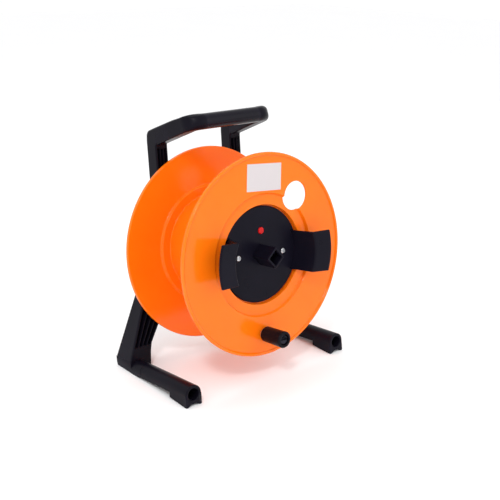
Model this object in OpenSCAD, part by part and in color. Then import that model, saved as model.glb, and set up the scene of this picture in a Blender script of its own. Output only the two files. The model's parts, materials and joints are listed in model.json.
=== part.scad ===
// Portable extension cord reel: an open plastic drum that turns on a steel axle
// in front of an A-shaped plastic frame with a carry handle and two long feet.
//
// Every module is drawn in the axle's own directions: X to the right, Y along the
// axle from the front of the drum to the rear, Z up, with the origin on the axle
// at the front rim. The frame leans back on the floor, so stand() tilts the whole
// reel and sets it down: the finished origin is on the floor, under the middle of
// the reel's bounding box.

/* [Drum] */
// Outer diameter of both flanges
flange_d = 266; // [262:1:268]
// Width of the drum over both rims
drum_w = 124; // [122:1:126]
// Outer diameter of the winding core
core_d = 137; // [136:0.5:139]
// Wall thickness of the drum mouldings
drum_wall = 2.5; // [2:0.5:3]
// Diameter of the raised ring round the core
plateau_d = 161; // [158:1:164]
// Diameter of the cable hole in the front flange
cable_hole_d = 38.6; // [30:0.2:40]
// Angle that the drum is parked at, clockwise from the front
drum_turn = 3.6; // [0:0.1:8]

/* [Front plate] */
// Diameter of the plate that closes the core
plate_d = 127; // [125:1:128]
// Thickness of the plate
plate_t = 3.5; // [3:0.5:4]
// Radius of the two screws that hold the plate
plate_screw_r = 38; // [36:1:40]
// Outer side of the square socket
socket_side = 20; // [18:1:21]
// Inner side of the square socket
socket_bore = 15; // [12:0.5:15]
// Height of the square socket in front of the plate
socket_h = 29.5; // [20:0.5:32]
// Travel of the reset button
button_travel = 1.5; // [1:0.1:2]

/* [Winding brackets] */
// Distance of the bracket wall's foot from the axle
bracket_foot_r = 58.5; // [58:0.5:59]
// Distance of the bracket's fold from the axle
bracket_fold_r = 68; // [66:0.5:69]
// Distance of the bracket's outer edge from the axle
bracket_edge_r = 95; // [90:1:98]
// Distance of the bracket's outer edge in front of the rim
bracket_reach = 24.5; // [20:0.5:26]
// Thickness of the bracket
bracket_t = 3; // [2.5:0.5:3]
// Angle of the brackets, clockwise from the plate's screws
bracket_turn = 0.8; // [0:0.1:1.5]

/* [Crank] */
// Distance of the crank grip from the axle
crank_r = 104.5; // [102:0.5:108]
// Length of the crank grip
grip_len = 37; // [30:1:38]
// Largest diameter of the crank grip
grip_d = 22; // [21:0.5:24]

/* [Axle] */
// Diameter of the steel axle
axle_d = 12; // [12:1:12]
// Radial running clearance of each turning fit
running_gap = 0.05; // [0.03:0.01:0.08]

/* [Frame] */
// Backward lean of the reel
lean = 6.4; // [6:0.1:6.8]
// Gap between the rear rim and the frame
frame_gap = 2; // [2:0.5:3]
// Distance between the outer faces of the uprights
frame_w = 144; // [142:1:146]
// Width of an upright
upright_w = 19; // [17:1:20]
// Depth of an upright
upright_depth = 21; // [20:1:22]
// Diameter of the handle grip
handle_d = 20; // [19:0.5:21]
// Distance between the outer faces of the feet
foot_span = 277; // [275:1:279]
// Width of a foot
foot_w = 24; // [23:1:25]
// Diameter of the socket in each foot tip
foot_bore_d = 16; // [14:0.5:16]

/* [Hidden] */
$fn = 96;
eps = 0.01;

// Colours
orange = [1.0, 0.47, 0.12];
black = [0.10, 0.09, 0.13];
steel = [0.72, 0.73, 0.75];
zinc = [0.80, 0.80, 0.78];
red = [0.80, 0.05, 0.08];
white = [0.92, 0.91, 0.95];
nylon = [0.86, 0.84, 0.78];

// Drum
flange_r = flange_d / 2;
core_r = core_d / 2;
core_wall = 3;
well_r = core_r - core_wall;
half_w = drum_w / 2;
rim_w = 5;
rim_t = 4.5;
face_y = 2.5;                       // front face of the flange plate
ring_y = 6.3;                       // front face of the raised ring
ring_r = plateau_d / 2;
seat_y = 14;                        // seat of the front plate
seat_t = 3;
seat_r = well_r - 3;
web_y = 34;
web_t = 3;
hub_y0 = 28;
hub_y1 = 44;
hub_r = 14;
bush_r = 9;
joint_ring_r = 50;
joint_ring_t = 4;
joint_screw_r = 55;
joint_angles = [30, 150, 210, 330];
lightening_r = 46;
lightening_d = 24;
cable_hole_at = [90.1, 53.6];       // radius and angle
post_r = 5;
pilot_r = 2.05;                     // hole that a frame or drum screw bites into
screw_r = 2;
clear_r = 2.2;                      // hole that a screw passes through
post_y1 = seat_y + 2;               // front end of the plate screws' posts

// Front plate
plate_y = seat_y - plate_t;
socket_front = plate_y - socket_h;
socket_flange = 26;
flange_t = 2;
button_at = 31.5;
label_size = [57, 34.6];
label_turn = 1.6;                   // skew of the stuck-on label
button_r = 4.5;
label_t = 0.3;
label_at = [-1.2, 101.2];           // middle of the label: x and z on the parked drum

// Crank
stud_r = 4;
stem_r = 3;                         // threaded end of the crank bolt
washer_t = 1.2;
grip_back = face_y - washer_t - 0.3;
grip_front = grip_back - grip_len;

// Frame
frame_y = drum_w + frame_gap;
rear_y = frame_y + upright_depth;
side_x = frame_w / 2;
foot_x = foot_span / 2;
foot_axis_x = foot_x - foot_w / 2;
foot_r = foot_w / 2;
knee_z = 50;                        // height where the upright turns into the leg
leg_end_z = -138;
heel_z = -165;                      // under the floor, which cuts the heel off
heel_draft = 0.3;                   // how much the heel closes in at its outer side
leg_rear_y = 161;                   // rear side of the leg's lower end
pocket_top = 137;                   // upper end of the pockets in the uprights
grip_yz = [58.5, 173.9];            // centre of the handle grip
arm_angle = 17.8;                   // rise of the arms towards the grip
arm_r = handle_d / 2;
arm_bow = 2.5;                      // how far an arm bulges above the line of the grip's top
bow_at = 30;                        // where it does so, behind the grip's centre
arm_relief = 1;                     // how much thinner an arm is than the grip
nose_x = side_x - 4;                // outer side of an arm's front end
nose_r = 14;                        // its rounding in plan
grip_x = side_x - upright_w - 4;    // end of the grip
foot_slope = 1;
foot_pivot = [105, -150.9];         // seam between the leg and the foot tip
foot_tip_y = 4;
foot_front = foot_tip_y - foot_pivot[0];    // front end of a foot, from the seam
pad_len = 36;
foot_screw_y = -12;                 // screw between foot tip and leg, from the seam
foot_low = -4.6;                    // flat underside of a foot, from its centre line
bridge_y1 = rear_y + 4;
bridge_top_z = 62;
bridge_low_z = -46;

// Floor: a line through the foot tips' lowest edges, in axle directions
tip_low_z = -168.4;
floor_drop = tip_low_z * cos(lean) - foot_tip_y * sin(lean);
corner_r = 9;                       // rounding of the uprights' top rear corners
top_z = grip_yz[1] - (rear_y - grip_yz[0]) * tan(arm_angle) + (arm_r + 1.5 * arm_bow) / cos(arm_angle);
corner_at = [rear_y - corner_r, top_z - corner_r * tan((90 - arm_angle) / 2)];
back_y = corner_at[0] * cos(lean) + corner_at[1] * sin(lean) + corner_r;
crank_low_z = -crank_r * cos(drum_turn);
crank_end_r = grip_d / 2;
crank_rim = 1.7;                    // width of the rounding round the crank grip's end
front_y = grip_front * cos(lean) + (crank_low_z - crank_end_r + crank_rim) * sin(lean);
middle_y = (front_y + back_y) / 2;

// ---------- Placing ----------

module stand() translate([0, -middle_y, -floor_drop]) rotate([-lean, 0, 0]) children();

module parked() stand() rotate([0, drum_turn, 0]) children();

// Keeps what is above the floor
module on_floor() intersection() {
    children();
    translate([-200, -200, 0]) cube([400, 400, 400]);
}

// Left side for -1, right side for 1
module on_side(side) mirror([side < 0 ? 1 : 0, 0, 0]) children();

// A shape drawn in X and Z, as a slab from y0 to y1
module slab(y0, y1) translate([0, y1, 0]) rotate([90, 0, 0]) linear_extrude(y1 - y0) children();

// A shape drawn in Y and Z, as a slab from x0 to x1
module side_slab(x0, x1) translate([x0, 0, 0]) rotate([90, 0, 90]) linear_extrude(x1 - x0) children();

// A body of revolution about the axle, from points of radius and y
module turned(points) rotate([-90, 0, 0]) rotate_extrude() polygon(points);

// A rod along Y, from y0 to y1
module rod(r, y0, y1) translate([0, y0, 0]) rotate([-90, 0, 0]) cylinder(h = y1 - y0, r = r);

module washer(r_in, r_out, y0, y1) difference() {
    rod(r_out, y0, y1);
    rod(r_in, y0 - 1, y1 + 1);
}

// A hexagon nut along Y, across_flats wide
module hex_nut(across_flats, r_in, y0, y1) difference() {
    translate([0, y0, 0]) rotate([-90, 0, 0]) cylinder(h = y1 - y0, r = across_flats / sqrt(3), $fn = 6);
    rod(r_in, y0 - 1, y1 + 1);
}

// A pan-head screw that points to +Y, its head's seat at y0
module screw(r, head_r, head_h, y0, length) {
    rod(r, y0, y0 + length, $fn = 32);
    difference() {
        turned([[0, y0 - head_h], [head_r - 0.9, y0 - head_h], [head_r, y0 - head_h + 0.9], [head_r, y0], [0, y0]]);
        for (a = [0, 90]) rotate([0, a, 0])
            translate([-head_r * 0.55, y0 - head_h - 1, -0.5]) cube([head_r * 1.1, 2, 1]);
    }
}

// ---------- Outlines ----------

function unit(v) = v / norm(v);

// Points of an arc of radius r that rounds the corner b between a and c
function arc_at(a, b, c, r, n = 6) =
    let (
        u = unit(a - b),
        w = unit(c - b),
        half = acos(u * w) / 2,
        m = b + unit(u + w) * r / sin(half),
        p = b + u * r / tan(half) - m,
        q = b + w * r / tan(half) - m,
        start = atan2(p[1], p[0]),
        sweep = (atan2(q[1], q[0]) - start + 540) % 360 - 180
    )
    [for (i = [0:n]) m + r * [cos(start + sweep * i / n), sin(start + sweep * i / n)]];

// A closed outline from [point, corner radius] pairs
function rounded(corners) =
    let (k = len(corners))
    [for (i = [0:k - 1])
        let (a = corners[(i + k - 1) % k][0], b = corners[i][0], c = corners[(i + 1) % k][0], r = corners[i][1])
        each (r == 0 ? [b] : arc_at(a, b, c, r))];

// Outer and inner edge of a side frame at height z
function outer_x(z) = z > knee_z ? side_x : side_x + (knee_z - z) * (foot_x - side_x) / (knee_z - leg_end_z);
function inner_x(z) = lookup(z, [[-138, 105.5], [-132, 105], [-120, 101.5], [-100, 90],
    [-50, 61], [-34, side_x - upright_w], [200, side_x - upright_w]]);

// ---------- Frame ----------

leg_heights = [200, 50, -34, -50, -100, -120, -132, -138];

module side_outline() polygon(concat(
    [for (z = leg_heights) [outer_x(z), z]],
    [[foot_x - heel_draft, heel_z], [foot_x - foot_w, heel_z], [106.5, -151]],
    [for (i = [len(leg_heights) - 1:-1:0]) [inner_x(leg_heights[i]), leg_heights[i]]]));

// Side view of an upright and its leg
module leg_side_view() polygon(rounded([
    [[frame_y, top_z], 0],
    [[frame_y, heel_z], 0],
    [[156, heel_z], 0],
    [[leg_rear_y, -146], 3],
    [[leg_rear_y, leg_end_z], 1],
    [[rear_y, bridge_low_z - 3], 0],
    [[rear_y, top_z], corner_r]
]));

// Side view of an arm, which ends round the grip's centre
module arm_side_view() {
    along = [cos(arm_angle), -sin(arm_angle)];
    up = [sin(arm_angle), cos(arm_angle)];
    top = grip_yz + up * arm_r;
    low = grip_yz - up * (arm_r - arm_relief);
    low_reach = (frame_y - low[0]) / cos(arm_angle);
    polygon(rounded([
        [low + along * low_reach, 3],
        [[frame_y, pocket_top], 0],
        [[rear_y, pocket_top], 0],
        [[rear_y, top_z], corner_r],
        [top + along * bow_at + up * arm_bow, 20],
        [top, 0],
        [low, 0]
    ]));
    translate(grip_yz) circle(r = arm_r);
}

// Plan view of an arm, which closes in towards the grip and turns into it
module arm_plan() polygon(rounded([
    [[side_x - upright_w, rear_y + 1], 0],
    [[side_x, rear_y + 1], 0],
    [[side_x, frame_y], 0],
    [[nose_x, grip_yz[0] - arm_r], nose_r],
    [[grip_x, grip_yz[0] - arm_r], 0],
    [[grip_x, grip_yz[0] + arm_r - 1], 3],
    [[side_x - upright_w, frame_y], 0]
]));

// Long pockets in the front of the frame, with ribs between them
module pockets(z_list, border, count, rib, y1) slab(frame_y - 1, y1)
    for (i = [0:count - 1]) polygon(concat(
        [for (z = z_list) [pocket_x(z, border, count, rib, i, 0), z]],
        [for (k = [len(z_list) - 1:-1:0]) [pocket_x(z_list[k], border, count, rib, i, 1), z_list[k]]]));

function pocket_x(z, border, count, rib, i, far) =
    let (
        x0 = inner_x(z) + border,
        pitch = (outer_x(z) - inner_x(z) - 2 * border + rib) / count
    )
    x0 + i * pitch + far * (pitch - rib);

bridge_screw_at = [[side_x - upright_w / 2, 50], [84, -36]];
rod_x = nose_x - 8;                  // half length of the rod through the grip
rod_r = 5;
handle_screw_x = rod_x - 4;

module side_frame(side) color(black) on_floor() stand() on_side(side) difference() {
    union() {
        difference() {
            intersection() {
                slab(90, 170) side_outline();
                side_slab(40, 150) leg_side_view();
            }
            pockets([pocket_top, 57], 2.5, 3, 1.2, rear_y - 5);
            pockets([45, 0, -34, -50, -100, -116, -122], 3, 4, 1.6, rear_y - 5);
        }
        intersection() {
            translate([0, 0, 90]) linear_extrude(110) arm_plan();
            side_slab(40, 80) arm_side_view();
        }
        along_foot() slab(0, frame_y - foot_pivot[0] + 4) foot_section(foot_low);
        for (at = bridge_screw_at) translate([at[0], 0, at[1]]) rod(4.5, frame_y + 2, rear_y - 1, $fn = 48);
        foot_tongue();
    }
    for (at = bridge_screw_at) translate([at[0], 0, at[1]]) rod(pilot_r, frame_y + 5, rear_y + 5, $fn = 48);
    translate([0, grip_yz[0], grip_yz[1]]) rotate([0, 90, 0]) cylinder(h = rod_x, r = rod_r + 0.05, $fn = 48);
    handle_screw_hole();
    foot_screw_hole();
}

// The foot's own directions: its centre line runs along Y through the seam
module along_foot() translate([foot_axis_x, foot_pivot[0], foot_pivot[1]]) rotate([foot_slope, 0, 0]) children();

// Tongue of the leg that the foot tip slides over; grow widens it into the foot tip's slot
module foot_tongue(grow = 0) along_foot()
    translate([-6 - grow, -24 - grow, -2.5 - grow]) cube([12 + 2 * grow, 26, 9 + 2 * grow]);

module foot_screw_hole() along_foot() translate([0, foot_screw_y, -20]) cylinder(h = 25, r = pilot_r, $fn = 48);

module handle_screw_hole()
    translate([handle_screw_x, grip_yz[0], grip_yz[1]]) rotate([arm_angle, 0, 0])
        translate([0, 0, -arm_r]) {
            cylinder(h = arm_r - 4, r = 1.55, $fn = 32);
            cylinder(h = arm_relief + 2.3, r = 3, $fn = 32);
        }

module side_frame_left() side_frame(-1);
module side_frame_right() side_frame(1);

// Round-topped foot tip with a socket in its end and a wedge that stands on the floor
module foot_tip(side) color(black) on_floor() stand() on_side(side) difference() {
    along_foot() difference() {
        union() {
            slab(foot_front, 0) foot_section(foot_low);
            intersection() {
                slab(foot_front, foot_front + pad_len) foot_section(-22);
                side_slab(-foot_w, foot_w) polygon([[foot_front - 1, 0], [foot_front - 1, -22],
                    [foot_front + 8, -14.9], [foot_front + pad_len + 1, -10.4], [foot_front + pad_len + 1, 0]]);
            }
        }
        rod(foot_bore_d / 2, foot_front - 1, foot_front + pad_len - 3, $fn = 64);
        // arch between the two edges of the wedge
        translate([0, 0, -24.1]) rod(12.1, foot_front - 1, foot_front + pad_len + 1);
        translate([0, foot_screw_y, foot_low - 0.5]) cylinder(h = 2.2, r1 = 4.2, r2 = 2, $fn = 48);
    }
    foot_tongue(0.1);
    foot_screw_hole();
}

// Cross-section of a foot: half round above, flat at low_z
module foot_section(low_z) polygon(concat(
    [for (a = [0:6:180]) foot_r * [cos(a), sin(a)]], [[-foot_r, low_z], [foot_r, low_z]]));

module foot_left() foot_tip(-1);
module foot_right() foot_tip(1);

module foot_screws() color(zinc) stand() for (side = [-1, 1]) on_side(side) along_foot() {
    translate([0, foot_screw_y, foot_low + 0.1]) cylinder(h = 1.6, r1 = 3.4, r2 = 1.9, $fn = 48);
    translate([0, foot_screw_y, foot_low + 1.6]) cylinder(h = 7, r = 1.9, $fn = 48);
}

module handle_grip() color(black) stand() {
    translate([0, grip_yz[0], grip_yz[1]]) rotate([0, 90, 0]) difference() {
        translate([0, 0, -grip_x]) cylinder(h = 2 * grip_x, r = arm_r);
        translate([0, 0, -grip_x - 1]) cylinder(h = 2 * grip_x + 2, r = rod_r + 0.05, $fn = 48);
    }
}

module handle_rod() color(steel) stand() {
    translate([-rod_x, grip_yz[0], grip_yz[1]]) rotate([0, 90, 0]) cylinder(h = 2 * rod_x, r = rod_r, $fn = 48);
}

module handle_screws() color(zinc) stand() for (side = [-1, 1]) on_side(side)
    translate([handle_screw_x, grip_yz[0], grip_yz[1]]) rotate([arm_angle, 0, 0])
        translate([0, 0, arm_relief - arm_r]) {
            cylinder(h = 2.2, r = 2.8, $fn = 32);
            cylinder(h = arm_r - arm_relief - rod_r - 0.1, r = 1.5, $fn = 32);
        }

// Cross member that carries the axle
bridge_in_x = side_x - upright_w;
boss_r = 20;
boss_y0 = 99.4;                     // front end of the boss round the axle
cross_low_z = -32;                  // web between the uprights, from here up
cross_h = 92;
cross_wall = 3;

module bridge_outline() polygon(rounded([
    [[-side_x, bridge_top_z], 4],
    [[side_x, bridge_top_z], 4],
    [[side_x, 40], 20],
    [[93, -26], 5],
    [[88, bridge_low_z], 5],
    [[66, bridge_low_z], 5],
    [[50, -34], 20],
    [[-50, -34], 20],
    [[-66, bridge_low_z], 5],
    [[-88, bridge_low_z], 5],
    [[-93, -26], 5],
    [[-side_x, 40], 20]
]));

module rear_bridge() color(black) stand() difference() {
    union() {
        slab(rear_y, bridge_y1) bridge_outline();
        slab(frame_y + 2, rear_y + eps) difference() {
            translate([-bridge_in_x, cross_low_z]) square([2 * bridge_in_x, cross_h]);
            translate([-bridge_in_x + cross_wall, cross_low_z + cross_wall])
                square([2 * (bridge_in_x - cross_wall), cross_h - 2 * cross_wall]);
        }
        slab(frame_y + 6, rear_y + eps) intersection() {
            translate([-bridge_in_x, cross_low_z]) square([2 * bridge_in_x, cross_h]);
            for (a = [0:45:135]) rotate(a) square([200, cross_wall], center = true);
        }
        rod(boss_r, boss_y0, bridge_y1);
    }
    rod(axle_d / 2 + running_gap, boss_y0 - 1, bridge_y1 + 1);
    for (side = [-1, 1], at = bridge_screw_at) translate([side * at[0], 0, at[1]])
        rod(clear_r, rear_y - 1, bridge_y1 + 1, $fn = 48);
}

module bridge_screws() color(zinc) stand() for (side = [-1, 1], at = bridge_screw_at)
    translate([side * at[0], 0, at[1]]) translate([0, bridge_y1, 0]) rotate([0, 0, 180]) screw(screw_r, 4.2, 2.6, 0, 16);

// ---------- Axle ----------

axle_y0 = 17.5;
axle_y1 = bridge_y1 + 10;
bush_flange_t = 1.5;
rear_hub_end = drum_w - hub_y0;
front_bush_face = hub_y0 - bush_flange_t;
rear_bush_face = rear_hub_end + bush_flange_t;

module axle() color(steel) stand() {
    rod(axle_d / 2, axle_y0 + 1, axle_y1 - 1);
    turned([[0, axle_y0], [axle_d / 2 - 1, axle_y0], [axle_d / 2, axle_y0 + 1], [0, axle_y0 + 1]]);
    turned([[0, axle_y1 - 1], [axle_d / 2, axle_y1 - 1], [axle_d / 2 - 1, axle_y1], [0, axle_y1]]);
}

module axle_nut_rear() color(zinc) stand() hex_nut(18, axle_d / 2 + 0.02, bridge_y1 + 2, bridge_y1 + 8.5);
module axle_washer_rear() color(zinc) stand() washer(axle_d / 2 + 0.3, 12, bridge_y1, bridge_y1 + 2);
module thrust_washer() color(nylon) stand() washer(axle_d / 2 + 0.3, 13, rear_bush_face + 0.3, boss_y0);
module axle_washer_front() color(zinc) stand() washer(axle_d / 2 + 0.3, 12, front_bush_face - 2.3, front_bush_face - 0.3);
module axle_nut_front() color(zinc) stand()
    hex_nut(18, axle_d / 2 + 0.02, front_bush_face - 8.3, front_bush_face - 2.3);

// ---------- Drum ----------

drum_profile = [
    [seat_r, seat_y], [well_r, seat_y], [well_r, ring_y + 0.8], [well_r + 0.8, ring_y],
    [ring_r - 1.2, ring_y], [ring_r + 0.6, face_y], [flange_r - rim_t, face_y],
    each [for (a = [180:20:360]) [flange_r - 1.9, 1.6] + [1.9 * cos(a), 1.6 * sin(a)]],
    [flange_r, rim_w - 0.8], [flange_r - 0.8, rim_w],
    [ring_r + 2.2, face_y + drum_wall], [ring_r + 1.2, face_y + drum_wall + 0.5],
    [ring_r - 0.4, ring_y + drum_wall], [core_r + 1.6, ring_y + drum_wall],
    [core_r + 0.4, ring_y + drum_wall + 0.5], [core_r, ring_y + drum_wall + 1.8],
    [core_r, half_w], [joint_ring_r, half_w], [joint_ring_r, half_w - joint_ring_t],
    [well_r, half_w - joint_ring_t], [well_r, web_y + web_t], [hub_r, web_y + web_t],
    [hub_r, hub_y1], [bush_r, hub_y1], [bush_r, hub_y0], [hub_r, hub_y0], [hub_r, web_y],
    [well_r, web_y], [well_r, seat_y + seat_t], [seat_r, seat_y + seat_t]
];

// One half of the drum, flange to the front: both halves come from this shape
module drum_half() difference() {
    union() {
        turned(drum_profile);
        for (side = [-1, 1]) translate([side * plate_screw_r, 0, 0]) rod(post_r, post_y1, web_y + 1, $fn = 48);
    }
    for (side = [-1, 1]) translate([side * plate_screw_r, 0, 0]) rod(1.75, post_y1 - 1, web_y - 2, $fn = 32);
    for (a = [30:60:330]) rotate([0, -a, 0]) translate([lightening_r, 0, 0])
        rod(lightening_d / 2, web_y - 1, web_y + web_t + 1, $fn = 48);
    for (a = joint_angles) rotate([0, -a, 0]) translate([joint_screw_r, 0, 0])
        rod(pilot_r, half_w - joint_ring_t - 1, half_w + 1, $fn = 32);
}

module drum_half_front() color(orange) parked() difference() {
    drum_half();
    rotate([0, -cable_hole_at[1], 0]) translate([cable_hole_at[0], 0, 0])
        rod(cable_hole_d / 2, -1, ring_y + drum_wall + 2);
    translate([0, 0, -crank_r]) rod(stem_r + 0.05, -1, 10, $fn = 48);
}

module drum_half_rear() color(orange) parked() translate([0, drum_w, 0]) mirror([0, 1, 0]) drum_half();

module drum_screws() color(zinc) parked() for (a = joint_angles) rotate([0, -a, 0])
    translate([joint_screw_r, 0, 0]) screw(screw_r, 3.8, 2.6, half_w - joint_ring_t, 2 * joint_ring_t + 3);

module bush(y0, y1, flange_y0) difference() {
    union() {
        rod(bush_r, y0, y1, $fn = 64);
        rod(13, flange_y0, flange_y0 + bush_flange_t, $fn = 64);
    }
    rod(axle_d / 2 + running_gap, min(y0, flange_y0) - 1, y1 + 3);
}

module bush_front() color(nylon) parked() bush(hub_y0, hub_y1, front_bush_face);
module bush_rear() color(nylon) parked() bush(drum_w - hub_y1, rear_hub_end, rear_hub_end);
module spacer_tube() color(steel) parked() washer(axle_d / 2 + 0.5, bush_r, hub_y1, drum_w - hub_y1);

// ---------- Front plate and what it carries ----------

module in_diamond() rotate([0, 45, 0]) children();

module square_rod(side, y0, y1) translate([-side / 2, y0, -side / 2]) cube([side, y1 - y0, side]);

module bracket_prism(grow = 0) slab(-40, 40) polygon(rounded([
    [[30, -9 - grow], 0],
    [[51, -9 - grow], 0],
    [[51, -26 - grow], 0],
    [[bracket_fold_r, -27 - grow], 0],
    [[bracket_edge_r + 2, -28 - grow], 4],
    [[bracket_edge_r + 2, 28 + grow], 4],
    [[bracket_fold_r, 27 + grow], 0],
    [[51, 26 + grow], 0],
    [[51, 9 + grow], 0],
    [[30, 9 + grow], 0]
]));

slot_half = 26.8;                   // half width of the plate's slots for the walls
fold_y = -bracket_reach + 2.5;
wall_out = bracket_foot_r + bracket_t;

bracket_profile = [
    [32, seat_y], [bracket_foot_r, seat_y], [bracket_foot_r, plate_y],
    [bracket_fold_r - 0.6, fold_y + 1.6], [bracket_fold_r + 0.8, fold_y],
    [bracket_edge_r - 1, -bracket_reach], [bracket_edge_r, -bracket_reach + 1],
    [bracket_edge_r, -bracket_reach + bracket_t],
    [bracket_fold_r + 3.2, fold_y + bracket_t], [wall_out, plate_y],
    [wall_out, seat_y + 2], [32, seat_y + 2]
];

// Bracket that keeps the wound cable's end: wall, fold and lip, with a foot behind the plate
module bracket(side) color(black) parked() rotate([0, side < 0 ? 180 : 0, 0]) difference() {
    rotate([0, bracket_turn, 0]) intersection() {
        turned(bracket_profile);
        bracket_prism();
    }
    translate([plate_screw_r, 0, 0]) rod(clear_r, seat_y - 1, seat_y + 3, $fn = 32);
}

module bracket_left() bracket(-1);
module bracket_right() bracket(1);

module front_plate() color(black) parked() difference() {
    turned([[0, plate_y], [plate_d / 2 - 0.8, plate_y], [plate_d / 2, plate_y + 0.8],
        [plate_d / 2, seat_y], [0, seat_y]]);
    in_diamond() square_rod(socket_side + 0.2, plate_y - 1, seat_y + 1);
    for (side = [-1, 1]) translate([side * plate_screw_r, 0, 0]) rod(clear_r, plate_y - 1, seat_y + 1, $fn = 32);
    translate([0, 0, button_at]) rod(button_r + 0.3, plate_y - 1, seat_y + 1, $fn = 48);
    // slots for the bracket walls
    for (a = [0, 180]) rotate([0, a + bracket_turn, 0]) intersection() {
        washer(bracket_foot_r - 0.1, wall_out + 0.1, plate_y - 1, seat_y + 1);
        translate([0, plate_y - 2, -slot_half]) cube([80, plate_t + 4, 2 * slot_half]);
    }
}

module plate_screws() color(steel) parked() for (side = [-1, 1])
    translate([side * plate_screw_r, 0, 0]) screw(1.7, 3.6, 2.2, plate_y, 16);

module square_socket() color(black) parked() in_diamond() difference() {
    union() {
        square_rod(socket_side, socket_front, seat_y);
        square_rod(socket_flange, seat_y, seat_y + flange_t);
    }
    square_rod(socket_bore, socket_front - 1, seat_y - 2);
}

module label() color(white) parked()
    translate([label_at[0], face_y - label_t, label_at[1]]) rotate([0, label_turn, 0])
        translate([-label_size[0] / 2, 0, -label_size[1] / 2]) cube([label_size[0], label_t, label_size[1]]);

// Thermal cut-out behind the plate, and its reset button
module cutout_housing() color(black) parked() translate([0, 0, button_at]) difference() {
    rod(8, seat_y, seat_y + 14, $fn = 64);
    rod(6.4, seat_y - 1, seat_y + 1.6 + button_travel + 0.5, $fn = 64);
    rod(2.6, seat_y, seat_y + 12, $fn = 48);
}

module reset_button() color(red) parked() translate([0, 0, button_at])
    turned([[0, plate_y - 1.8], [button_r - 1.4, plate_y - 1.8], [button_r, plate_y - 1],
        [button_r, seat_y + 0.3], [5.8, seat_y + 0.3], [5.8, seat_y + 1.5],
        [2.2, seat_y + 1.5], [2.2, seat_y + 9], [0, seat_y + 9]]);

// ---------- Crank ----------

module at_crank() parked() translate([0, 0, -crank_r]) children();

bolt_head_y = grip_front + 4.5;

module crank_bolt() color(steel) at_crank() {
    rod(stud_r, bolt_head_y, face_y - washer_t, $fn = 64);
    rod(stem_r, face_y - washer_t - eps, face_y + drum_wall + 7, $fn = 48);
    difference() {
        turned([[0, bolt_head_y - 2.8], [5.6, bolt_head_y - 2.8], [6.6, bolt_head_y - 1.8], [6.6, bolt_head_y], [0, bolt_head_y]]);
        translate([-5, bolt_head_y - 4, -0.6]) cube([10, 2.4, 1.2]);
    }
}

module crank_washer() color(zinc) at_crank() washer(stem_r + 0.1, 8, face_y - washer_t, face_y);
module crank_nut() color(zinc) at_crank() hex_nut(10, stem_r + 0.02, face_y + drum_wall, face_y + drum_wall + 5);

module crank_grip() color(black) at_crank() difference() {
    turned([[0, grip_back], [7.5, grip_back], [9.3, grip_back - 0.7], [10.2, grip_back - 2.4],
        [crank_end_r - 0.2, grip_front + 5], [crank_end_r, grip_front + 1.6], [crank_end_r - 0.5, grip_front + 0.5],
        [crank_end_r - crank_rim, grip_front], [0, grip_front]]);
    rod(stud_r + running_gap, grip_front - 1, grip_back + 1, $fn = 64);
    rod(7.4, grip_front - 1, bolt_head_y + 0.3, $fn = 64);
}

side_frame_left();
side_frame_right();
rear_bridge();
handle_grip();
handle_rod();
handle_screws();
foot_left();
foot_right();
foot_screws();
bridge_screws();
axle();
axle_nut_rear();
axle_washer_rear();
thrust_washer();
axle_washer_front();
axle_nut_front();
drum_half_front();
drum_half_rear();
drum_screws();
bush_front();
bush_rear();
spacer_tube();
front_plate();
plate_screws();
bracket_left();
bracket_right();
square_socket();
label();
cutout_housing();
reset_button();
crank_bolt();
crank_washer();
crank_nut();
crank_grip();
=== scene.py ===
"""Looks of the extension cord reel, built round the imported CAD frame."""

import json
import math

import bmesh
import bpy
from mathutils import Matrix, Vector
from mathutils.bvhtree import BVHTree


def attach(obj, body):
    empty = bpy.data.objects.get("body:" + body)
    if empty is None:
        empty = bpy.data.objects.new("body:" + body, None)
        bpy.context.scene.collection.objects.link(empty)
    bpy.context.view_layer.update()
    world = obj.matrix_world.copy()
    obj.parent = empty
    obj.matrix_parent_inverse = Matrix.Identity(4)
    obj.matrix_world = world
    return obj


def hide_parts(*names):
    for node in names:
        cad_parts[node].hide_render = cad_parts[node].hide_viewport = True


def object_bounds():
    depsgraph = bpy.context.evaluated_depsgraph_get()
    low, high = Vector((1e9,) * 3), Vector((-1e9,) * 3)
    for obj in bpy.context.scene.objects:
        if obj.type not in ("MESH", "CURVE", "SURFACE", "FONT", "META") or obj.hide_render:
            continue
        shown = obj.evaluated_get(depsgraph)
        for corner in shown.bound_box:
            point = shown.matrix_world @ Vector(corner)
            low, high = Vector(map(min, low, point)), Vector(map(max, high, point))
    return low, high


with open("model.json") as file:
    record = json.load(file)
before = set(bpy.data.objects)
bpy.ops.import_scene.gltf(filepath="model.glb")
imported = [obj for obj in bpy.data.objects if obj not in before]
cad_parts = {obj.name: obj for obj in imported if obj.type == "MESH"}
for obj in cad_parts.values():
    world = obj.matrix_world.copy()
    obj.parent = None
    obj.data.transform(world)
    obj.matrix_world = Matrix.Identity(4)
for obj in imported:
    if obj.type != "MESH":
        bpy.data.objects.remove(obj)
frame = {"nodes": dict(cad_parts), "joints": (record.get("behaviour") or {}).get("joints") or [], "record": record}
cad_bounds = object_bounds()

MM = 0.001
scene = bpy.context.scene

# ---------- Directions of the axle, from the frame ----------

spin = next(j for j in frame["joints"] if j["name"] == "drum_spin")
AXLE_BACK = -Vector(spin["axis"]).normalized()
LEAN = math.atan2(-AXLE_BACK.z, AXLE_BACK.y)
SPIN_FROM_RIM = 0.062               # the spin joint's place on the axle, behind the front rim
RIM_CENTRE = Vector(spin["pos_m"]) - AXLE_BACK * SPIN_FROM_RIM

# axle directions to the row frame: X right, Y along the axle to the rear, Z up
TO_ROW = Matrix.Translation(RIM_CENTRE) @ Matrix.Rotation(-LEAN, 4, "X")

# ---------- Camera ----------

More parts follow.
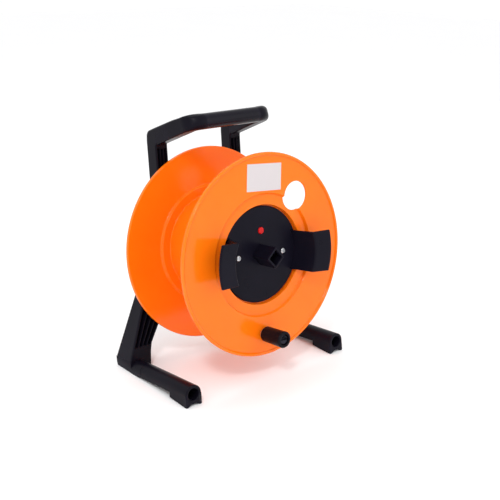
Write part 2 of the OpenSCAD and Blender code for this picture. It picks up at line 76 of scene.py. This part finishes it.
CAMERA_AT = Vector((-0.7225, -0.8555, 0.5427))
CAMERA_YAW = math.radians(41.04)
CAMERA_PITCH = math.radians(-18.86)
CAMERA_ROLL = math.radians(1.3)
CAMERA_LENS = 63.85


def make_camera():
    data = bpy.data.cameras.new("camera")
    data.lens = CAMERA_LENS
    data.sensor_width = 36.0
    data.clip_start = 0.01
    data.clip_end = 50.0
    camera = bpy.data.objects.new("camera", data)
    turn = Matrix.Rotation(-CAMERA_YAW, 4, "Z") @ Matrix.Rotation(math.pi / 2 + CAMERA_PITCH, 4, "X")
    camera.matrix_world = Matrix.Translation(CAMERA_AT) @ turn @ Matrix.Rotation(CAMERA_ROLL, 4, "Z")
    scene.collection.objects.link(camera)
    scene.camera = camera


# ---------- Materials ----------


class Graph:
    """A material's node tree, with short calls to add and join nodes."""

    def __init__(self, name):
        self.material = bpy.data.materials.new(name)
        self.material.use_nodes = True
        self.tree = self.material.node_tree
        self.shader = self.tree.nodes["Principled BSDF"]
        self.place = self.tree.nodes.new("ShaderNodeTexCoord").outputs["Object"]

    def add(self, kind, inputs=None, **settings):
        made = self.tree.nodes.new(kind)
        for key, value in settings.items():
            setattr(made, key, value)
        for key, value in (inputs or {}).items():
            if isinstance(value, bpy.types.NodeSocket):
                self.tree.links.new(value, made.inputs[key])
            else:
                made.inputs[key].default_value = value
        return made

    def noise(self, scale, detail=4.0, roughness=0.5, place=None, distortion=0.0):
        return self.add("ShaderNodeTexNoise", {
            "Vector": place or self.place, "Scale": scale, "Detail": detail,
            "Roughness": roughness, "Distortion": distortion}).outputs["Fac"]

    def ramp(self, fac, low, high):
        """fac, from low to high, stretched to 0 to 1."""
        return self.add("ShaderNodeMapRange", {
            "Value": fac, "From Min": low, "From Max": high}).outputs["Result"]

    def between(self, fac, a, b):
        """A number from a, where fac is 0, to b, where it is 1."""
        return self.add("ShaderNodeMapRange", {
            "Value": fac, "To Min": a, "To Max": b}).outputs["Result"]

    def mix(self, fac, a, b):
        made = self.add("ShaderNodeMix", data_type="RGBA")
        for key, value in ((0, fac), (6, a), (7, b)):
            if isinstance(value, bpy.types.NodeSocket):
                self.tree.links.new(value, made.inputs[key])
            else:
                made.inputs[key].default_value = value if key == 0 else (*value, 1.0)
        return made.outputs[2]

    def math(self, operation, a, b):
        made = self.add("ShaderNodeMath", operation=operation)
        for key, value in ((0, a), (1, b)):
            if isinstance(value, bpy.types.NodeSocket):
                self.tree.links.new(value, made.inputs[key])
            else:
                made.inputs[key].default_value = value
        return made.outputs[0]

    def set(self, **values):
        for key, value in values.items():
            key = key.replace("_", " ")
            if isinstance(value, bpy.types.NodeSocket):
                self.tree.links.new(value, self.shader.inputs[key])
            else:
                self.shader.inputs[key].default_value = value

    def bump(self, height, strength, distance, below=None):
        inputs = {"Height": height, "Strength": strength, "Distance": distance}
        if below is not None:
            inputs["Normal"] = below
        return self.add("ShaderNodeBump", inputs).outputs["Normal"]

    def axle_place(self):
        """The surface's place in the axle's directions, for marks that run round the axle."""
        moved = self.add("ShaderNodeMapping", {
            "Vector": self.place, "Location": -RIM_CENTRE}).outputs["Vector"]
        return self.add("ShaderNodeMapping", {
            "Vector": moved, "Rotation": (LEAN, 0.0, 0.0)}).outputs["Vector"]

    def edge_wear(self, low, high):
        """1 along convex edges, 0 on flat stretches."""
        point = self.add("ShaderNodeNewGeometry").outputs["Pointiness"]
        return self.ramp(point, low, high)


def orange_plastic():
    g = Graph("orange_plastic")
    axle = g.axle_place()
    rings = g.add("ShaderNodeTexWave", {
        "Vector": axle, "Scale": 260.0, "Distortion": 1.5, "Detail": 2.0, "Detail Scale": 4.0},
        wave_type="RINGS", rings_direction="Y").outputs["Fac"]
    cloud = g.noise(14.0, 3.0)
    flow = g.noise(90.0, 5.0, 0.6)
    tint = g.mix(g.ramp(cloud, 0.30, 0.70), (0.96, 0.170, 0.003), (1.0, 0.185, 0.004))
    dusty = g.mix(g.between(g.ramp(flow, 0.60, 0.80), 0.0, 0.05), tint, (1.0, 0.30, 0.06))
    scuffs = g.ramp(g.noise(320.0, 6.0, 0.7), 0.62, 0.76)
    rough = g.math("ADD", g.between(flow, 0.13, 0.20), g.math("MULTIPLY", scuffs, 0.08))
    peel = g.bump(g.noise(260.0, 2.0), 0.02, 0.0005)
    g.set(Base_Color=dusty, Roughness=rough, Normal=g.bump(rings, 0.015, 0.0003, peel))
    g.set(IOR=1.46, Specular_IOR_Level=0.32, Subsurface_Weight=0.18, Subsurface_Scale=0.006)
    g.shader.inputs["Subsurface Radius"].default_value = (1.0, 0.30, 0.05)
    return g.material


def black_plastic(name, base, rough, grain, grain_size, shine=0.09):
    """Moulded black plastic: fine spark-eroded grain, faint flow clouds, paler rubbed edges."""
    g = Graph(name)
    cloud = g.ramp(g.noise(22.0, 4.0), 0.35, 0.70)
    speck = g.ramp(g.noise(900.0, 3.0, 0.6), 0.62, 0.75)
    colour = g.mix(cloud, base, tuple(1.35 * c for c in base))
    colour = g.mix(g.math("MULTIPLY", speck, 0.25), colour, tuple(2.6 * c for c in base))
    worn = g.math("MULTIPLY", g.edge_wear(0.53, 0.60), g.noise(140.0, 5.0))
    colour = g.mix(g.math("MULTIPLY", worn, 0.5), colour, tuple(4.0 * c for c in base))
    roughness = g.math("ADD", g.between(cloud, rough - 0.05, rough + 0.06), g.math("MULTIPLY", worn, -0.08))
    fine = g.bump(g.noise(grain_size, 3.0, 0.6), grain, 0.00025)
    g.set(Base_Color=colour, Roughness=roughness, Normal=g.bump(g.noise(45.0, 2.0), 0.05, 0.001, fine))
    g.set(IOR=1.45, Specular_IOR_Level=shine)
    return g.material


def red_plastic():
    g = Graph("red_plastic")
    cloud = g.noise(300.0, 3.0)
    g.set(Base_Color=g.mix(cloud, (0.50, 0.001, 0.002), (0.58, 0.002, 0.004)))
    g.set(Roughness=g.between(g.noise(900.0, 4.0), 0.22, 0.34), IOR=1.45, Specular_IOR_Level=0.3)
    g.set(Normal=g.bump(g.noise(1500.0), 0.04, 0.0002))
    return g.material


def label_film():
    g = Graph("label_film")
    fibre = g.noise(700.0, 6.0, 0.65, distortion=0.6)
    cloud = g.noise(35.0, 3.0)
    paper = g.mix(cloud, (0.58, 0.53, 0.54), (0.62, 0.57, 0.58))
    g.set(Base_Color=g.mix(g.between(g.ramp(fibre, 0.6, 0.75), 0.0, 0.2), paper, (0.50, 0.47, 0.49)))
    g.set(Roughness=g.between(cloud, 0.36, 0.48), Normal=g.bump(fibre, 0.05, 0.0002))
    return g.material


def metal(name, base, rough, streak):
    """Plated or drawn steel: fine streaks, cloudy plating and small scratches."""
    g = Graph(name)
    stretched = g.add("ShaderNodeMapping", {"Vector": g.place, "Scale": (1.0, streak, 1.0)}).outputs["Vector"]
    lines = g.noise(900.0, 5.0, 0.6, stretched)
    cloud = g.noise(160.0, 4.0)
    g.set(Base_Color=g.mix(g.ramp(cloud, 0.3, 0.7), base, tuple(0.8 * c for c in base)), Metallic=1.0)
    g.set(Roughness=g.between(lines, rough - 0.08, rough + 0.14), Normal=g.bump(lines, 0.06, 0.0002))
    return g.material


def nylon():
    g = Graph("nylon")
    cloud = g.noise(120.0, 4.0)
    g.set(Base_Color=g.mix(cloud, (0.70, 0.66, 0.54), (0.80, 0.77, 0.66)))
    g.set(Roughness=g.between(g.noise(500.0), 0.35, 0.5), Subsurface_Weight=0.1, Subsurface_Scale=0.002)
    g.set(Normal=g.bump(g.noise(1200.0), 0.05, 0.0002))
    return g.material


def make_materials():
    return {
        "drum_plastic": orange_plastic(),
        "frame_plastic": black_plastic("frame_plastic", (0.0045, 0.0038, 0.0075), 0.33, 0.10, 1400.0),
        "handle_plastic": black_plastic("handle_plastic", (0.0050, 0.0042, 0.0085), 0.25, 0.07, 1600.0, 0.16),
        "plate_plastic": black_plastic("plate_plastic", (0.0048, 0.0042, 0.0090), 0.32, 0.08, 1500.0),
        "crank_plastic": black_plastic("crank_plastic", (0.0060, 0.0042, 0.0065), 0.30, 0.08, 1500.0),
        "button_red": red_plastic(),
        "label_white": label_film(),
        "bearing_nylon": nylon(),
        "steel": metal("steel", (0.62, 0.63, 0.65), 0.28, 0.05),
        "dark_steel": metal("dark_steel", (0.030, 0.030, 0.042), 0.30, 0.6),
        "zinc_plate": metal("zinc_plate", (0.70, 0.70, 0.68), 0.34, 0.6),
    }


materials = make_materials()
SLOT_OF = {s["node"]: s["material_slot"] for s in frame["record"]["subparts"]}
BODY_OF = {n: body for body, members in frame["record"]["behaviour"]["bodies"].items() for n in members}

# ---------- Mesh helpers ----------

SHARP = math.radians(28)            # edges that turn by more are rounded and shaded sharp
FLAT = math.radians(0.4)            # faces that turn by less are joined
WELD = 0.004                        # points closer than this are joined, in millimetres
OFF_WALL = 0.05                     # start of a look from a wall, in front of it
NEAR = 15.0                         # a wall this near to a wall that it faces is in a pocket or bore
ROUNDING_STEPS = 3


def finish_piece(piece, node, *more):
    """Material, smooth shading, body and slot of a piece that stands for one or more CAD nodes."""
    piece.data.materials.clear()
    piece.data.materials.append(materials[SLOT_OF[node]])
    normals = piece.modifiers.new("weighted_normals", "WEIGHTED_NORMAL")
    normals.keep_sharp = True
    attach(piece, BODY_OF[node])
    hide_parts(node, *more)
    return piece


def new_piece(name, bm):
    """An object from a bmesh, with smooth faces and sharp edges kept sharp."""
    bmesh.ops.recalc_face_normals(bm, faces=bm.faces)
    for face in bm.faces:
        face.smooth = True
    for edge in bm.edges:
        edge.smooth = len(edge.link_faces) == 2 and edge.calc_face_angle(0.0) < SHARP
    mesh = bpy.data.meshes.new(name)
    bm.to_mesh(mesh)
    bm.free()
    piece = bpy.data.objects.new(name, mesh)
    scene.collection.objects.link(piece)
    return piece


def cad_copy(node):
    """The CAD node's surface as a bmesh, welded, with its flat stretches as whole faces."""
    bm = bmesh.new()
    bm.from_mesh(frame["nodes"][node].data)
    bmesh.ops.remove_doubles(bm, verts=bm.verts, dist=WELD * MM)
    bmesh.ops.dissolve_limit(bm, angle_limit=FLAT, verts=bm.verts, edges=bm.edges)
    return bm


def whole(middle):
    """Share of the rounding for nodes whose edges are all rounded alike."""
    return 1.0


def rounded_copy(node, width, nested, share=whole, change=None):
    """A CAD node's piece with every sharp edge rounded by width.

    Edges of pockets and bores, whose walls face another wall within NEAR, are rounded by nested.
    share says how much of width an edge gets, from its middle in the axle's directions, in millimetres.
    """
    bm = cad_copy(node)
    if change:
        change(bm)
    tree = BVHTree.FromBMesh(bm)
    weight = bm.edges.layers.float.new("bevel_weight_edge")
    walls = set()
    for face in bm.faces:
        start = face.calc_center_median() + face.normal * OFF_WALL * MM
        if tree.ray_cast(start, face.normal, NEAR * MM)[0] is not None:
            walls.add(face.index)
    to_axle = TO_ROW.inverted()
    for edge in bm.edges:
        if len(edge.link_faces) != 2 or edge.calc_face_angle(0.0) < SHARP:
            continue
        most = share(to_axle @ ((edge.verts[0].co + edge.verts[1].co) / 2) / MM)
        inner = any(face.index in walls for face in edge.link_faces)
        edge[weight] = min(most, nested / width if inner else 1.0)
    piece = new_piece(node + "_piece", bm)
    rounding = piece.modifiers.new("rounding", "BEVEL")
    rounding.limit_method = "WEIGHT"
    rounding.width = width * MM
    rounding.segments = ROUNDING_STEPS
    rounding.use_clamp_overlap = False
    return finish_piece(piece, node)


# ---------- Handle: arms and grip as one smooth bow ----------

GRIP_AT = (58.5, 173.9)             # the grip's centre line: y and z in the axle's directions, in millimetres
ARM_RISE = math.radians(17.8)
ARM_CUT = 44.0                      # where a swept arm takes over, behind the grip's centre
GRIP_HALF = 10.0                    # half thickness of the grip
ARM_LOW = 9.0                       # from an arm's middle line to its underside
ARM_BOW = 2.5                       # how far an arm bulges above the line of the grip's top
BOW_AT = 30.0                       # where it does so, behind the grip's centre
BOW_GROWTH = 0.5                    # what it gains from there to the arm's rear end, as a share
ARM_DEPTH = 88.5                    # from the grip's centre to the arm's rear end
BEND_AT = (44.0, 15.0)              # pivot of the bend, beside and behind the grip's centre
BEND_IN = 5.0                       # inner radius of the bend
NOSE_OUT = 68.0                     # outer side at the front end
NOSE_R = 21.0                       # rounding of the bend's outside
ARM_SPREAD = 4.0 / 77.5             # how an arm's outside spreads towards the upright
INNER_SPREAD = 0.0815               # and its inside
SIDE_FIT = 1.25                     # what an arm's outside has gained where its spread starts
EDGE_R = 3.0                        # rounding of an arm's edges
GRIP_EDGE_R = 9.0                   # rounding of the grip's edges
ROUND_SOONER = 1.4                  # how much faster the rounding grows than the bend turns
CORNER_STEPS = 7                    # faces round a corner, along an arm, round the bend and along the grip
ARM_STEPS = 8
BEND_STEPS = 14
GRIP_STEPS = 12


def smooth(t):
    """A soft start and stop for t from 0 to 1."""
    return t * t * (3 - 2 * t)


def section(half_w, top, low, radius):
    """Rounded rectangle, as points across and up, counter-clockwise."""
    corners = ((half_w, top, 0), (-half_w, top, 90), (-half_w, -low, 180), (half_w, -low, 270))
    points = []
    for across, up, start in corners:
        centre = (across - math.copysign(radius, across), up - math.copysign(radius, up))
        for k in range(CORNER_STEPS + 1):
            angle = math.radians(start + 90 * k / CORNER_STEPS)
            points.append((centre[0] + radius * math.cos(angle), centre[1] + radius * math.sin(angle)))
    return points


def bend_reach(angle):
    """Distance from the bend's pivot to the bow's outside, in a direction that turns from +X to the front."""
    along = (math.cos(angle), -math.sin(angle))
    centre = (NOSE_OUT - NOSE_R, NOSE_R - GRIP_HALF)
    rel = (centre[0] - BEND_AT[0], centre[1] - BEND_AT[1])
    mid = rel[0] * along[0] + rel[1] * along[1]
    reach = mid + math.sqrt(NOSE_R ** 2 - rel[0] ** 2 - rel[1] ** 2 + mid ** 2)
    hit = (BEND_AT[0] + reach * along[0], BEND_AT[1] + reach * along[1])
    if hit[1] > centre[1]:
        return (NOSE_OUT - BEND_AT[0]) / along[0]
    if hit[0] < centre[0]:
        return (BEND_AT[1] + GRIP_HALF) / -along[1]
    return reach


def arm_top(s):
    """Height of an arm's top above its middle line, s behind the grip's centre."""
    if s > BOW_AT:
        return GRIP_HALF + ARM_BOW * (1 + BOW_GROWTH * (s - BOW_AT) / (ARM_DEPTH - BOW_AT))
    return GRIP_HALF + ARM_BOW * max(s, 0.0) / BOW_AT


def arm_sections():
    """Sections of the right arm and bend: a list of rings of points in the arm's own directions."""
    rings = []
    for k in range(ARM_STEPS):
        s = ARM_CUT + (BEND_AT[1] - ARM_CUT) * k / ARM_STEPS
        back = (s - BEND_AT[1]) * math.cos(ARM_RISE)
        outside = NOSE_OUT + SIDE_FIT + ARM_SPREAD * back
        inside = BEND_AT[0] + BEND_IN + INNER_SPREAD * back
        middle = (outside + inside) / 2
        ring = section((outside - inside) / 2, arm_top(s), ARM_LOW, EDGE_R)
        rings.append([(middle + across, s, up) for across, up in ring])
    for k in range(BEND_STEPS + 1):
        turned = k / BEND_STEPS
        angle = math.pi / 2 * turned
        t = smooth(turned)
        reach = bend_reach(angle) + SIDE_FIT * (1 - t)
        middle, half_w = (reach + BEND_IN) / 2, (reach - BEND_IN) / 2
        low = ARM_LOW + (GRIP_HALF - ARM_LOW) * t
        top = arm_top(BEND_AT[1] * math.cos(angle))
        rounding = EDGE_R + (GRIP_EDGE_R - EDGE_R) * smooth(min(1.0, ROUND_SOONER * k / BEND_STEPS))
        ring = section(half_w, top, low, rounding)
        rings.append([(BEND_AT[0] + (middle + across) * math.cos(angle),
                       BEND_AT[1] - (middle + across) * math.sin(angle), up) for across, up in ring])
    return rings


def arm_point(side, x, s, up):
    """A point of the arm's own directions in the row frame."""
    y = GRIP_AT[0] + s * math.cos(ARM_RISE) + up * math.sin(ARM_RISE)
    z = GRIP_AT[1] - s * math.sin(ARM_RISE) + up * math.cos(ARM_RISE)
    point = TO_ROW @ (Vector((side * x, y, z)) * MM)
    point.z = min(point.z, cad_bounds[1][2])
    return point


def loft(bm, rings):
    """Skins rings of points of equal count, and closes both ends."""
    made = [[bm.verts.new(p) for p in ring] for ring in rings]
    count = len(made[0])
    for a, b in zip(made, made[1:]):
        for k in range(count):
            bm.faces.new((a[k], a[(k + 1) % count], b[(k + 1) % count], b[k]))
    bm.faces.new(made[0])
    bm.faces.new(list(reversed(made[-1])))


def make_arm(side):
    bm = bmesh.new()
    loft(bm, [[arm_point(side, *p) for p in ring] for ring in arm_sections()])
    name = "arm_left" if side < 0 else "arm_right"
    return finish_piece(new_piece(name, bm), "side_frame_left" if side < 0 else "side_frame_right")


def make_grip():
    ends = section(GRIP_HALF, GRIP_HALF, GRIP_HALF, GRIP_EDGE_R)
    stations = [BEND_AT[0] * (2 * k / GRIP_STEPS - 1) for k in range(GRIP_STEPS + 1)]
    bm = bmesh.new()
    loft(bm, [[arm_point(1, x, across, up) for across, up in ends] for x in stations])
    return finish_piece(new_piece("grip_bow", bm), "handle_grip")


ARM_Z = 143.0                       # height where the arm leaves the upright
ABOVE_POCKETS = 150.0               # faces that reach higher belong to the arm or the upright's top
UPRIGHT_SHARE = 0.6                 # share of the frame's rounding on the uprights and legs
CUT_SLACK = 0.1                     # how far behind the cut an edge still counts as the cut's own
LEG_Z = -132.0                      # below this the leg turns into the heel and foot
WEDGE_Z = -160.0                    # below this a foot tip narrows to the edges it stands on


def along_arm(middle):
    """How far a point lies behind the grip's centre, along the arm."""
    return (middle.y - GRIP_AT[0]) * math.cos(ARM_RISE) - (middle.z - GRIP_AT[1]) * math.sin(ARM_RISE)


def frame_rounding(middle):
    """Share of a side frame's rounding: whole on its arm, none at its heel and at the cut."""
    if middle.z < LEG_Z:
        return 0.0
    if middle.z < ARM_Z:
        return UPRIGHT_SHARE
    return 0.0 if along_arm(middle) < ARM_CUT + CUT_SLACK else 1.0


def foot_rounding(middle):
    """Share of the feet's rounding: none at the wedge that stands on the floor."""
    return 0.0 if middle.z < WEDGE_Z else 1.0


def without_arm(bm):
    """Cuts the front part of an arm off a side frame, and closes the cut."""
    to_axle = TO_ROW.inverted()
    arm = [f for f in bm.faces if max((to_axle @ v.co).z for v in f.verts) / MM > ABOVE_POCKETS]
    geometry = set(arm)
    for face in arm:
        geometry.update(face.edges)
        geometry.update(face.verts)
    at = arm_point(1, 0.0, ARM_CUT, 0.0)
    forward = arm_point(1, 0.0, ARM_CUT - 1.0, 0.0) - at
    bmesh.ops.bisect_plane(bm, geom=list(geometry), plane_co=at, plane_no=forward.normalized(),
                           dist=0.001 * MM, clear_outer=True)
    bmesh.ops.holes_fill(bm, edges=[e for e in bm.edges if e.is_boundary], sides=0)


# Edge rounding of each node: outside and in pockets, in millimetres
FRAME_ROUNDING = (3.0, 0.35)
FOOT_ROUNDING = (1.0, 0.4)
ROUNDING = {
    "rear_bridge": (1.2, 0.3),
    "drum_half_front": (0.5, 0.3), "drum_half_rear": (0.5, 0.3), "front_plate": (0.35, 0.2),
    "bracket_left": (1.0, 1.0), "bracket_right": (1.0, 1.0), "square_socket": (0.7, 0.4),
    "label": (0.08, 0.08), "reset_button": (0.5, 0.5), "crank_grip": (0.4, 0.3),
    "crank_bolt": (0.3, 0.15), "crank_washer": (0.25, 0.2), "crank_nut": (0.3, 0.2),
    "axle": (0.3, 0.3), "axle_nut_rear": (0.6, 0.3), "axle_washer_rear": (0.3, 0.2),
    "plate_screws": (0.2, 0.12), "bridge_screws": (0.2, 0.12), "foot_screws": (0.15, 0.1),
}


def make_pieces():
    for node in ("side_frame_left", "side_frame_right"):
        rounded_copy(node, *FRAME_ROUNDING, share=frame_rounding, change=without_arm)
    for node in ("foot_left", "foot_right"):
        rounded_copy(node, *FOOT_ROUNDING, share=foot_rounding)
    for side in (-1, 1):
        make_arm(side)
    make_grip()
    for node, (width, nested) in ROUNDING.items():
        rounded_copy(node, width, nested)


def dress_hidden_nodes():
    """The nodes that stay as the CAD made them, with their slot's material."""
    for name, node in frame["nodes"].items():
        if node.hide_render:
            continue
        node.data.materials.clear()
        node.data.materials.append(materials[SLOT_OF[name]])


# ---------- Floor and light ----------

FLOOR_HALF = 6.0                    # in metres
REEL_MIDDLE = Vector((0.0, 0.0, 0.17))
SKY = 1.04                          # strength of the white surroundings


def make_floor():
    bm = bmesh.new()
    bmesh.ops.create_grid(bm, x_segments=1, y_segments=1, size=FLOOR_HALF)
    mesh = bpy.data.meshes.new("floor")
    bm.to_mesh(mesh)
    bm.free()
    floor = bpy.data.objects.new("floor", mesh)
    g = Graph("floor")
    cloud = g.noise(3.0, 3.0)
    g.set(Base_Color=g.mix(cloud, (0.945, 0.945, 0.95), (0.965, 0.965, 0.97)), Roughness=0.7)
    mesh.materials.append(g.material)
    scene.collection.objects.link(floor)


def softbox(name, at, size, power):
    data = bpy.data.lights.new(name, "AREA")
    data.shape = "RECTANGLE"
    data.size, data.size_y = size
    data.energy = power
    light = bpy.data.objects.new(name, data)
    light.location = at
    light.rotation_euler = (REEL_MIDDLE - Vector(at)).to_track_quat("-Z", "Y").to_euler()
    scene.collection.objects.link(light)


def make_light():
    world = bpy.data.worlds.new("world")
    world.use_nodes = True
    world.node_tree.nodes["Background"].inputs["Color"].default_value = (1.0, 1.0, 1.0, 1.0)
    world.node_tree.nodes["Background"].inputs["Strength"].default_value = SKY
    scene.world = world
    softbox("key", (-1.1, -0.9, 1.5), (0.25, 0.25), 10.0)
    softbox("fill", (0.9, -1.6, 0.9), (1.2, 1.2), 3.0)
    softbox("top", (0.0, 0.4, 1.6), (1.0, 0.3), 4.0)
    scene.view_settings.view_transform = "Standard"


make_pieces()
dress_hidden_nodes()
make_floor()
make_light()
make_camera()
